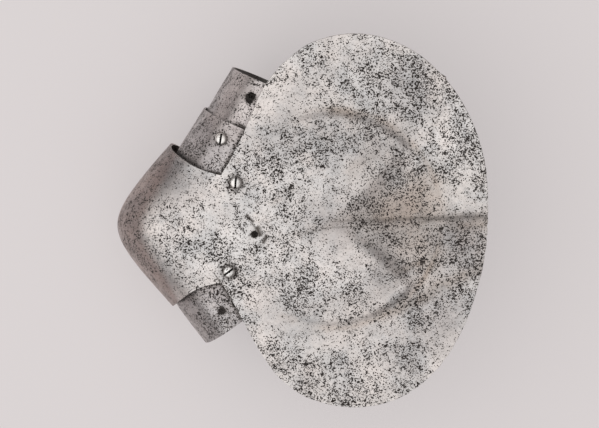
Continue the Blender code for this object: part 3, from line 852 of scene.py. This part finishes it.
def gathered(plan, spots):
    """The sum of soft round spots at a point of the drawing."""
    return sum(
        share * math.exp(-((plan - Vector((x, y))).length_squared / reach**2))
        for x, y, reach, share in spots
    )


def streaked(plan):
    """The sum of the brown streaks at a point of the drawing."""
    total = 0.0
    for start, end, width, share in STREAKS:
        off, run = plan - Vector(start), Vector(end) - Vector(start)
        part = off.dot(run) / run.length_squared
        ends = ease(-0.1, 0.3, part) * ease(1.1, 0.7, part)
        total += share * ends * math.exp(-((run.normalized().cross(off) / width) ** 2))
    return total


def stain_and_shade(plan):
    """How brown the wing is, stain and painted shade: in the fold, the boss's valley, along the
    ray, in streaks.
    """
    fold = fold_share(plan) * (1.0 - FOLD_STAIN_SHADE_LOSS * ease(*FOLD_STAIN_SHADE_FADE, plan.x))
    across = plan - BOSS_CENTRE
    off = across.length - BOSS_RADIUS
    valley = sum(
        share * math.exp(-(((off - middle) / reach) ** 2)) for share, middle, reach in VALLEY_LINES
    )
    valley *= ease(-0.35, 0.1, across.x / across.length)
    valley *= ease(0.0, 0.5, abs(across.y) / across.length)
    above_ray = RAY_TOWARD.cross(plan - RAY_START)
    ray = RAY_STAIN_SHADE * math.exp(-((above_ray / RAY_STAIN_SHADE_REACH) ** 2))
    ray *= ease(0.0, 20.0, RAY_TOWARD.dot(plan - RAY_START))
    return min(fold + max(valley, ray) + streaked(plan), 1.0)


def grime_and_shade(plan):
    """Dirt and painted shade round the screw heads, and painted shade in the lacing hole."""
    return sum(
        math.exp(-max((plan - spot).length - reach, 0.0) / spread)
        for spot, reach, spread in DIRT_AND_SHADE_SPOTS
    )


def paint(piece, name, rule):
    """Writes a rule of the drawing's plan on a piece's outer side, for its material."""
    layer = piece.data.attributes.new(name, "FLOAT", "POINT")
    values = []
    for vertex in piece.data.vertices:
        plan = vertex.co.xy / MM + BOX_CENTRE
        values.append(rule(plan) if vertex.co.z > -FLOOR_Z * MM else 0.0)
    layer.data.foreach_set("value", values)


def brown_and_shaded_sides(piece):
    """Steep sides darker: unpolished brown, and painted shade of the dim surroundings they mirror.
    """
    layer = piece.data.attributes.new("patina_shade", "FLOAT", "POINT")
    heights = [abs(vertex.co.z / MM + FLOOR_Z) for vertex in piece.data.vertices]
    layer.data.foreach_set("value", [1.0 - ease(PATINA_SHADE_FULL, PATINA_SHADE_END, z) for z in heights])


# Stain and painted shade in the wing's hollows.
paint(main_plate, "stain_shade", stain_and_shade)
# Dirt and painted shade round the screw heads, and painted shade in the lacing hole.
paint(main_plate, "grime_shade", grime_and_shade)
paint(main_plate, "crowd", lambda plan: gathered(plan, CROWDS))
# Grey patches, partly tarnish, partly painted shade on sides that face away from the light.
paint(main_plate, "dull", lambda plan: gathered(plan, TARNISH_AND_SHADE))
# Old brown and painted shade on the steep sides.
brown_and_shaded_sides(main_plate)
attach(main_plate, "main_plate")
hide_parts("main_plate")

# The lames are narrow steel strips, each bent round the arm in a U whose sides lie flat
# under its neighbour. Two close the gap above the cup and one below it, and each turns on
# a screw outside and a rivet inside. Empty holes near their free ends took the next plates.
LAME_THICK = 1.1
NEST_GAP = 0.35
UPPER_Z = CHEEK_Z - PLATE_THICK - NEST_GAP
TOP_Z = UPPER_Z - LAME_THICK - NEST_GAP
LAME_SQUARENESS = 2.3
# Each row: back x, back y, front x, front y, length of the round at the back.
UPPER_LAME = (
    (-81.0, 35.5, -33.0, 17.0, 33.0),
    (-78.9, 42.3, -31.0, 25.0, 30.0),
    (-75.0, 49.1, -28.0, 34.0, 27.0),
    (-67.3, 60.6, -24.0, 43.0, 25.0),
    (-59.6, 72.1, -20.5, 53.3, 24.0),
)
TOP_LAME = (
    (-65.2, 56.6, -34.0, 40.0, 27.0),
    (-61.2, 65.3, -28.0, 49.0, 27.0),
    (-56.1, 73.6, -22.0, 58.0, 26.0),
    (-48.7, 85.4, -15.5, 69.7, 25.0),
    (-41.1, 97.1, -8.5, 81.9, 24.0),
)
LOWER_LAME = (
    (-63.2, -74.7, -26.0, -49.2, 26.0),
    (-71.8, -63.0, -30.0, -41.5, 28.0),
    (-80.0, -51.0, -33.0, -33.0, 31.0),
    (-83.4, -43.5, -36.0, -25.0, 34.0),
    (-85.4, -36.0, -38.0, -17.5, 36.0),
)
LAME_ROWS = 50
LAME_NOSE_COLUMNS = 44
LAME_FLAT_COLUMNS = 16
LAME_COLUMNS = 2 * (LAME_NOSE_COLUMNS + LAME_FLAT_COLUMNS)
PIVOT_TOP = Vector((-48.0, 54.5))
RAGGED_HOLE = Vector((-29.7, 78.9))
RAGGED_RADIUS = 3.1
RAGGED_WAVES = ((2, 0.16, -0.6), (3, 0.08, 0.3), (5, 0.07, 2.0))  # waves round, depth, phase
LOWER_HOLE = Vector((-50.4, -50.9))
CANNON_HOLE_RADIUS = 2.1
HEAD_REACH = 3.8
DENT_SIZE = 9.0
DENT_DEPTH = 0.07
RIM_STEP = 1.6
# Painted shadow along covering rims, and painted shade round holes: darkness, width, spread.
RIM_SHADOW = 1.4
RIM_SHADOW_WIDTH = 1.0
HOLE_SHADE_SPREAD = 0.7
POINTS_A_GAP = 5
LOWER_DULLING = 0.4
LAME_LIGHT = (0.64, 0.59, 0.57, 1.0)
LAME_DARK = (0.42, 0.38, 0.37, 1.0)


def lame_point(table, height, column, row):
    """A lame's outer face: a U in each section, open to the front."""
    back_x, back_y, front_x, front_y, nose = read_row(table, row * (len(table) - 1) / LAME_ROWS)
    back, front = Vector((back_x, back_y)), Vector((front_x, front_y))
    chord = front - back
    step = column - LAME_NOSE_COLUMNS - LAME_FLAT_COLUMNS
    part, on_nose = nose_or_flat(abs(step), LAME_NOSE_COLUMNS, LAME_FLAT_COLUMNS)
    rise, along = 1.0, nose + (chord.length - nose) * part
    if on_nose:
        run, rise = squared_round(part, LAME_SQUARENESS)
        along = nose * run
    return (*(back + chord.normalized() * along), math.copysign(height * rise, step))


def lame_dents(place):
    return DENT_DEPTH * noise.noise(place / MM / DENT_SIZE) * MM


def tear(tool):
    """Makes the bar that cuts the top strip's empty hole ragged."""
    middle = own_frame(*RAGGED_HOLE, 0.0).xy
    for vertex in tool.data.vertices:
        out = vertex.co.xy - middle
        if out.length > 2.0 * RAGGED_RADIUS * MM or vertex.co.z < -FLOOR_Z * MM:
            continue
        turn = math.atan2(out.y, out.x)
        waves = sum(depth * math.sin(count * turn + phase) for count, depth, phase in RAGGED_WAVES)
        vertex.co.xy = middle + out * (1.0 + waves)


lame_steel = pitted_steel("lame_steel", LAME_LIGHT, LAME_DARK, roughness=0.38, pitting=1.2)
LAME_FINISHES = (lame_steel, inside_steel)


def make_lame(name, table, height, tool):
    return steel_sheet(
        name,
        LAME_COLUMNS,
        LAME_ROWS,
        lambda column, row: lame_point(table, height, column, row),
        lame_dents,
        LAME_THICK,
        tool,
        LAME_FINISHES,
    )


def both_cheeks(place, height, radius):
    return [straight_hole(place, side * height, radius) for side in (1, -1)]


def rim_shadow(strip, rims, holes):
    """Painted shadow along the rims over a strip, and painted shade in and round its holes."""
    count = sum(len(rim) for rim in rims)
    tree = kdtree.KDTree(count)
    for index, point in enumerate(point for rim in rims for point in rim):
        tree.insert(own_frame(*point), index)
    tree.balance()
    layer = strip.data.attributes.new("grime_shade", "FLOAT", "POINT")
    values = []
    for vertex in strip.data.vertices:
        off = max(tree.find(vertex.co)[2] / MM - RIM_STEP, 0.0)
        rim = RIM_SHADOW * math.exp(-((off / RIM_SHADOW_WIDTH) ** 2))
        plan = vertex.co.xy / MM + BOX_CENTRE
        near = min((plan - place).length - radius for place, radius in holes)
        values.append(max(rim, math.exp(-max(near, 0.0) / HOLE_SHADE_SPREAD)))
    layer.data.foreach_set("value", values)


def close_points(line):
    """The line's points, with more of them set evenly in each gap."""
    points = [Vector(point) for point in line]
    return [
        start.lerp(end, step / POINTS_A_GAP)
        for start, end in zip(points, points[1:])
        for step in range(POINTS_A_GAP)
    ]


first_wing_column = LOBE_COLUMNS + 2 * (FLAT_COLUMNS + NOSE_COLUMNS)
covered_columns = range(first_wing_column + WING_COLUMNS // 3)
plate_rims = {
    row: close_points([plate_point(column, row) for column in covered_columns])
    for row in (0, PLATE_ROWS)
}
upper_rim = close_points(
    [lame_point(UPPER_LAME, UPPER_Z, column, LAME_ROWS) for column in range(LAME_COLUMNS + 1)]
)
upper_holes = both_cheeks(PIVOT_UPPER, UPPER_Z, pivot_radius)
upper_holes += both_cheeks(PIVOT_TOP, UPPER_Z, pivot_radius)
upper_tool = drill(upper_holes, DRILL_DEPTH, LAME_FINISHES)
upper_lame = make_lame("upper_strip", UPPER_LAME, UPPER_Z, upper_tool)
# Each strip gets painted shadow where a rim lies over it, and painted shade in its holes.
rim_shadow(upper_lame, (plate_rims[PLATE_ROWS],), ((PIVOT_TOP, HEAD_REACH),))
top_holes = both_cheeks(PIVOT_TOP, TOP_Z, pivot_radius)
top_holes.append(straight_hole(RAGGED_HOLE, TOP_Z, RAGGED_RADIUS))
top_tool = drill(top_holes, DRILL_DEPTH, LAME_FINISHES)
tear(top_tool)
top_lame = make_lame("top_strip", TOP_LAME, TOP_Z, top_tool)
rim_shadow(top_lame, (upper_rim, plate_rims[PLATE_ROWS]), ((RAGGED_HOLE, RAGGED_RADIUS),))
lower_holes = both_cheeks(PIVOT_LOWER, UPPER_Z, pivot_radius)
lower_holes += both_cheeks(LOWER_HOLE, UPPER_Z, CANNON_HOLE_RADIUS)
lower_tool = drill(lower_holes, DRILL_DEPTH, LAME_FINISHES)
lower_lame = make_lame("lower_strip", LOWER_LAME, UPPER_Z, lower_tool)
rim_shadow(lower_lame, (plate_rims[0],), ((LOWER_HOLE, CANNON_HOLE_RADIUS),))
# The lower strip is dulled evenly all over.
paint(lower_lame, "dull", lambda plan: LOWER_DULLING)
strips = ((upper_lame, "upper_lame"), (top_lame, "top_lame"), (lower_lame, "lower_lame"))
for strip, node in strips:
    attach(strip, node)
    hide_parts(node)

# The outer pivots are screws with domed, slotted heads, worn to a lean. Their shanks pass
# both plates and end in plain six-sided nuts inside. All are steel, the nuts left dark.
HEAD_RADIUS = 3.6
HEAD_EDGE = 0.9
HEAD_HEIGHT = 2.6
HEAD_LEAN = 0.28
UNDER_CHAMFER = 0.2
DOME_STEPS = 9
SLOT_WIDTH = 1.25
SLOT_DEPTH = 1.1
NUT_RADIUS = 3.8
NUT_HEIGHT = 2.4
NUT_ROUND = 0.25
SHANK_PROUD = 0.8
TIP_CHAMFER = 0.3
SEAT_LIFT = 0.2
SLOPE_SPARE = 1.3
LATHE_STEPS = 40
SEAT_STEPS = 200
SHARP_ANGLE = math.radians(40.0)


def lame_seat(table, height, place):
    """Height and slope of a lame's outer cheek over a point of the side view."""
    near = []
    for step in range(SEAT_STEPS + 1):
        row = read_row(table, step * (len(table) - 1) / SEAT_STEPS)
        back, front = Vector(row[0:2]), Vector(row[2:4])
        chord = (front - back).normalized()
        off = abs(chord.cross(place - back))
        near.append((off, (place - back).dot(chord), row[4]))
    _, along, nose = min(near)
    left = max(1.0 - along / nose, 0.0)
    level = (1.0 - left**LAME_SQUARENESS) ** (1.0 / LAME_SQUARENESS)
    slope = height / nose * left ** (LAME_SQUARENESS - 1.0) * level ** (1.0 - LAME_SQUARENESS)
    return height * level, math.atan(slope)


top_seat, top_lean = lame_seat(UPPER_LAME, UPPER_Z, PIVOT_TOP)
under_seat = lame_seat(TOP_LAME, TOP_Z, PIVOT_TOP)[0] - LAME_THICK - SLOPE_SPARE
cheek_grip = CHEEK_Z - UPPER_Z + LAME_THICK
lame_run = Vector(UPPER_LAME[-1][:2]) - Vector(UPPER_LAME[2][:2])
lean_toward = math.atan2(lame_run.y, lame_run.x) + math.pi / 2
# Each fastening: body, place, seat, lean, grip, lift of the outer seat, turn of the slot.
FASTENINGS = {
    "upper": ("main_plate", PIVOT_UPPER, CHEEK_Z, 0.0, cheek_grip, SEAT_LIFT, 84.0),
    "top": ("upper_lame", PIVOT_TOP, top_seat, top_lean, top_seat - under_seat, 0.0, 80.0),
    "lower": ("main_plate", PIVOT_LOWER, CHEEK_Z, 0.0, cheek_grip, SEAT_LIFT, 35.0),
}


def seat_frame(place, height, lean, inner=False):
    """A frame on a cheek whose +Z points out of it, leaned the way the lame slopes."""
    side = -1.0 if inner else 1.0
    out = Vector(
        (
            math.cos(lean_toward) * math.sin(lean),
            math.sin(lean_toward) * math.sin(lean),
            side * math.cos(lean),
        )
    )
    turned = out.to_track_quat("Z", "Y").to_matrix().to_4x4()
    return Matrix.Translation(own_frame(*place, side * height)) @ turned


def lathe(name, profile, frame, finishes, lean=0.0):
    """A turned piece about its frame's Z, from a profile of radius and height."""
    work = bmesh.new()
    line = [work.verts.new((radius * MM, 0.0, height * MM)) for radius, height in profile]
    edges = [work.edges.new(pair) for pair in zip(line, line[1:])]
    bmesh.ops.spin(
        work,
        geom=line + edges,
        axis=(0.0, 0.0, 1.0),
        cent=(0.0, 0.0, 0.0),
        steps=LATHE_STEPS,
        angle=2.0 * math.pi,
        use_merge=True,
    )
    bmesh.ops.remove_doubles(work, verts=work.verts, dist=1e-6)
    bmesh.ops.recalc_face_normals(work, faces=work.faces)
    bmesh.ops.transform(work, matrix=frame, verts=work.verts)
    for vertex in work.verts:
        above = max((frame.inverted() @ vertex.co).z - HEAD_EDGE * MM, 0.0)
        vertex.co.x -= lean * above
    return place_object(name, work, finishes)


def domed_screw(name, frame, grip, slot_turn):
    end = -(grip + GAP + NUT_HEIGHT + SHANK_PROUD)
    profile = [(0.0, HEAD_HEIGHT)]
    for step in range(1, DOME_STEPS + 1):
        turn = 0.5 * math.pi * step / DOME_STEPS
        rise = (HEAD_HEIGHT - HEAD_EDGE) * math.cos(turn)
        profile.append((HEAD_RADIUS * math.sin(turn), HEAD_EDGE + rise))
    under_edge, tip_edge = GAP + UNDER_CHAMFER, end + TIP_CHAMFER
    profile += [(HEAD_RADIUS, under_edge), (HEAD_RADIUS - UNDER_CHAMFER, GAP), (SHANK_RADIUS, GAP)]
    profile += [(SHANK_RADIUS, tip_edge), (SHANK_RADIUS - TIP_CHAMFER, end), (0.0, end)]
    screw = lathe(name, profile, frame, SCREW_FINISHES, HEAD_LEAN)
    saw = bmesh.new()
    bmesh.ops.create_cube(saw, size=1.0)
    size = Vector((5.0 * HEAD_RADIUS, SLOT_WIDTH, 4.0 * SLOT_DEPTH)) * MM
    bmesh.ops.scale(saw, vec=size, verts=saw.verts)
    shift = Vector((-HEAD_LEAN * HEAD_EDGE, 0.0, HEAD_HEIGHT + SLOT_DEPTH)) * MM
    turned = Matrix.Translation(frame.translation + shift)
    turned = turned @ Matrix.Rotation(math.radians(slot_turn), 4, "Z")
    bmesh.ops.transform(saw, matrix=turned, verts=saw.verts)
    tool = place_object("saw", saw, SCREW_FINISHES, 1)
    cut_away(screw, "slot", tool)
    settle(screw, tool)
    return screw


def plain_nut(name, frame, grip):
    blank = bmesh.new()
    drop = Matrix.Translation((0.0, 0.0, -(grip + GAP + NUT_HEIGHT / 2) * MM))
    bmesh.ops.create_cone(
        blank,
        cap_ends=True,
        segments=6,
        radius1=NUT_RADIUS * MM,
        radius2=NUT_RADIUS * MM,
        depth=NUT_HEIGHT * MM,
        matrix=frame @ drop,
    )
    bmesh.ops.bevel(
        blank,
        geom=blank.edges[:],
        offset=NUT_ROUND * MM,
        segments=2,
        profile=0.5,
        affect="EDGES",
        material=-1,
    )
    nut = place_object(name, blank, IRON_FINISHES)
    tool = drill([(frame @ drop, SHANK_RADIUS + GAP)], 3.0 * NUT_HEIGHT, IRON_FINISHES)
    cut_away(nut, "bore", tool)
    settle(nut, tool)
    return nut


def finish_small(piece, node, body):
    piece.data.shade_smooth()
    piece.data.set_sharp_from_angle(angle=SHARP_ANGLE)
    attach(piece, body)
    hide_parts(node)


SCREW_LIGHT = (0.96, 0.93, 0.89, 1.0)
SCREW_DARK = (0.78, 0.74, 0.7, 1.0)
SLOT_LIGHT = (0.04, 0.032, 0.028, 1.0)
SLOT_DARK = (0.018, 0.015, 0.013, 1.0)
IRON_LIGHT = (0.24, 0.22, 0.21, 1.0)
IRON_DARK = (0.12, 0.11, 0.105, 1.0)
screw_steel = pitted_steel("screw_steel", SCREW_LIGHT, SCREW_DARK, roughness=0.26, pitting=0.5)
dark_iron = pitted_steel("dark_iron", IRON_LIGHT, IRON_DARK, roughness=0.5, pitting=0.8)
# The slot's walls are near black: painted shade in the slot.
slot_shade = pitted_steel("slot_shade", SLOT_LIGHT, SLOT_DARK, roughness=0.8, pitting=0.3)
SCREW_FINISHES = (screw_steel, slot_shade)
IRON_FINISHES = (dark_iron, inside_steel)
for name, (body, place, seat, lean, grip, lift, slot_turn) in FASTENINGS.items():
    outer = seat_frame(place, seat + lift, lean)
    screw = domed_screw(f"pivot_screw_{name}", outer, grip + lift, slot_turn)
    finish_small(screw, f"screw_{name}", body)
    nut = plain_nut(f"pivot_nut_{name}", outer, grip + lift)
    finish_small(nut, f"nut_{name}", body)

# The inner pivots are rivets: a low round head outside, which the couter lies on, and a
# peened end inside.
RIVET_FLAT_RADIUS = 2.7
RIVET_HEAD_RADIUS = 3.5
PEEN_RADIUS = 2.8
PEEN_HEIGHT = 1.2
for name, (body, place, seat, lean, grip, *_) in FASTENINGS.items():
    peen = -(grip + GAP)
    profile = [(0.0, LOBE_TURN), (RIVET_FLAT_RADIUS, LOBE_TURN)]
    for step in range(1, DOME_STEPS):
        turn = 0.5 * math.pi * step / DOME_STEPS
        reach = (RIVET_HEAD_RADIUS - RIVET_FLAT_RADIUS) * math.sin(turn)
        profile.append((RIVET_FLAT_RADIUS + reach, LOBE_TURN / 2 * (1.0 + math.cos(turn))))
    profile += [(RIVET_HEAD_RADIUS, LOBE_TURN / 2), (RIVET_HEAD_RADIUS, GAP), (SHANK_RADIUS, GAP)]
    profile += [(SHANK_RADIUS, peen), (PEEN_RADIUS, peen), (PEEN_RADIUS, peen - 0.4 * PEEN_HEIGHT)]
    profile += [(0.75 * PEEN_RADIUS, peen - 0.9 * PEEN_HEIGHT), (0.0, peen - PEEN_HEIGHT)]
    under = seat_frame(place, seat, lean, inner=True)
    rivet = lathe(f"pivot_rivet_{name}", profile, under, IRON_FINISHES)
    finish_small(rivet, f"rivet_{name}", body)
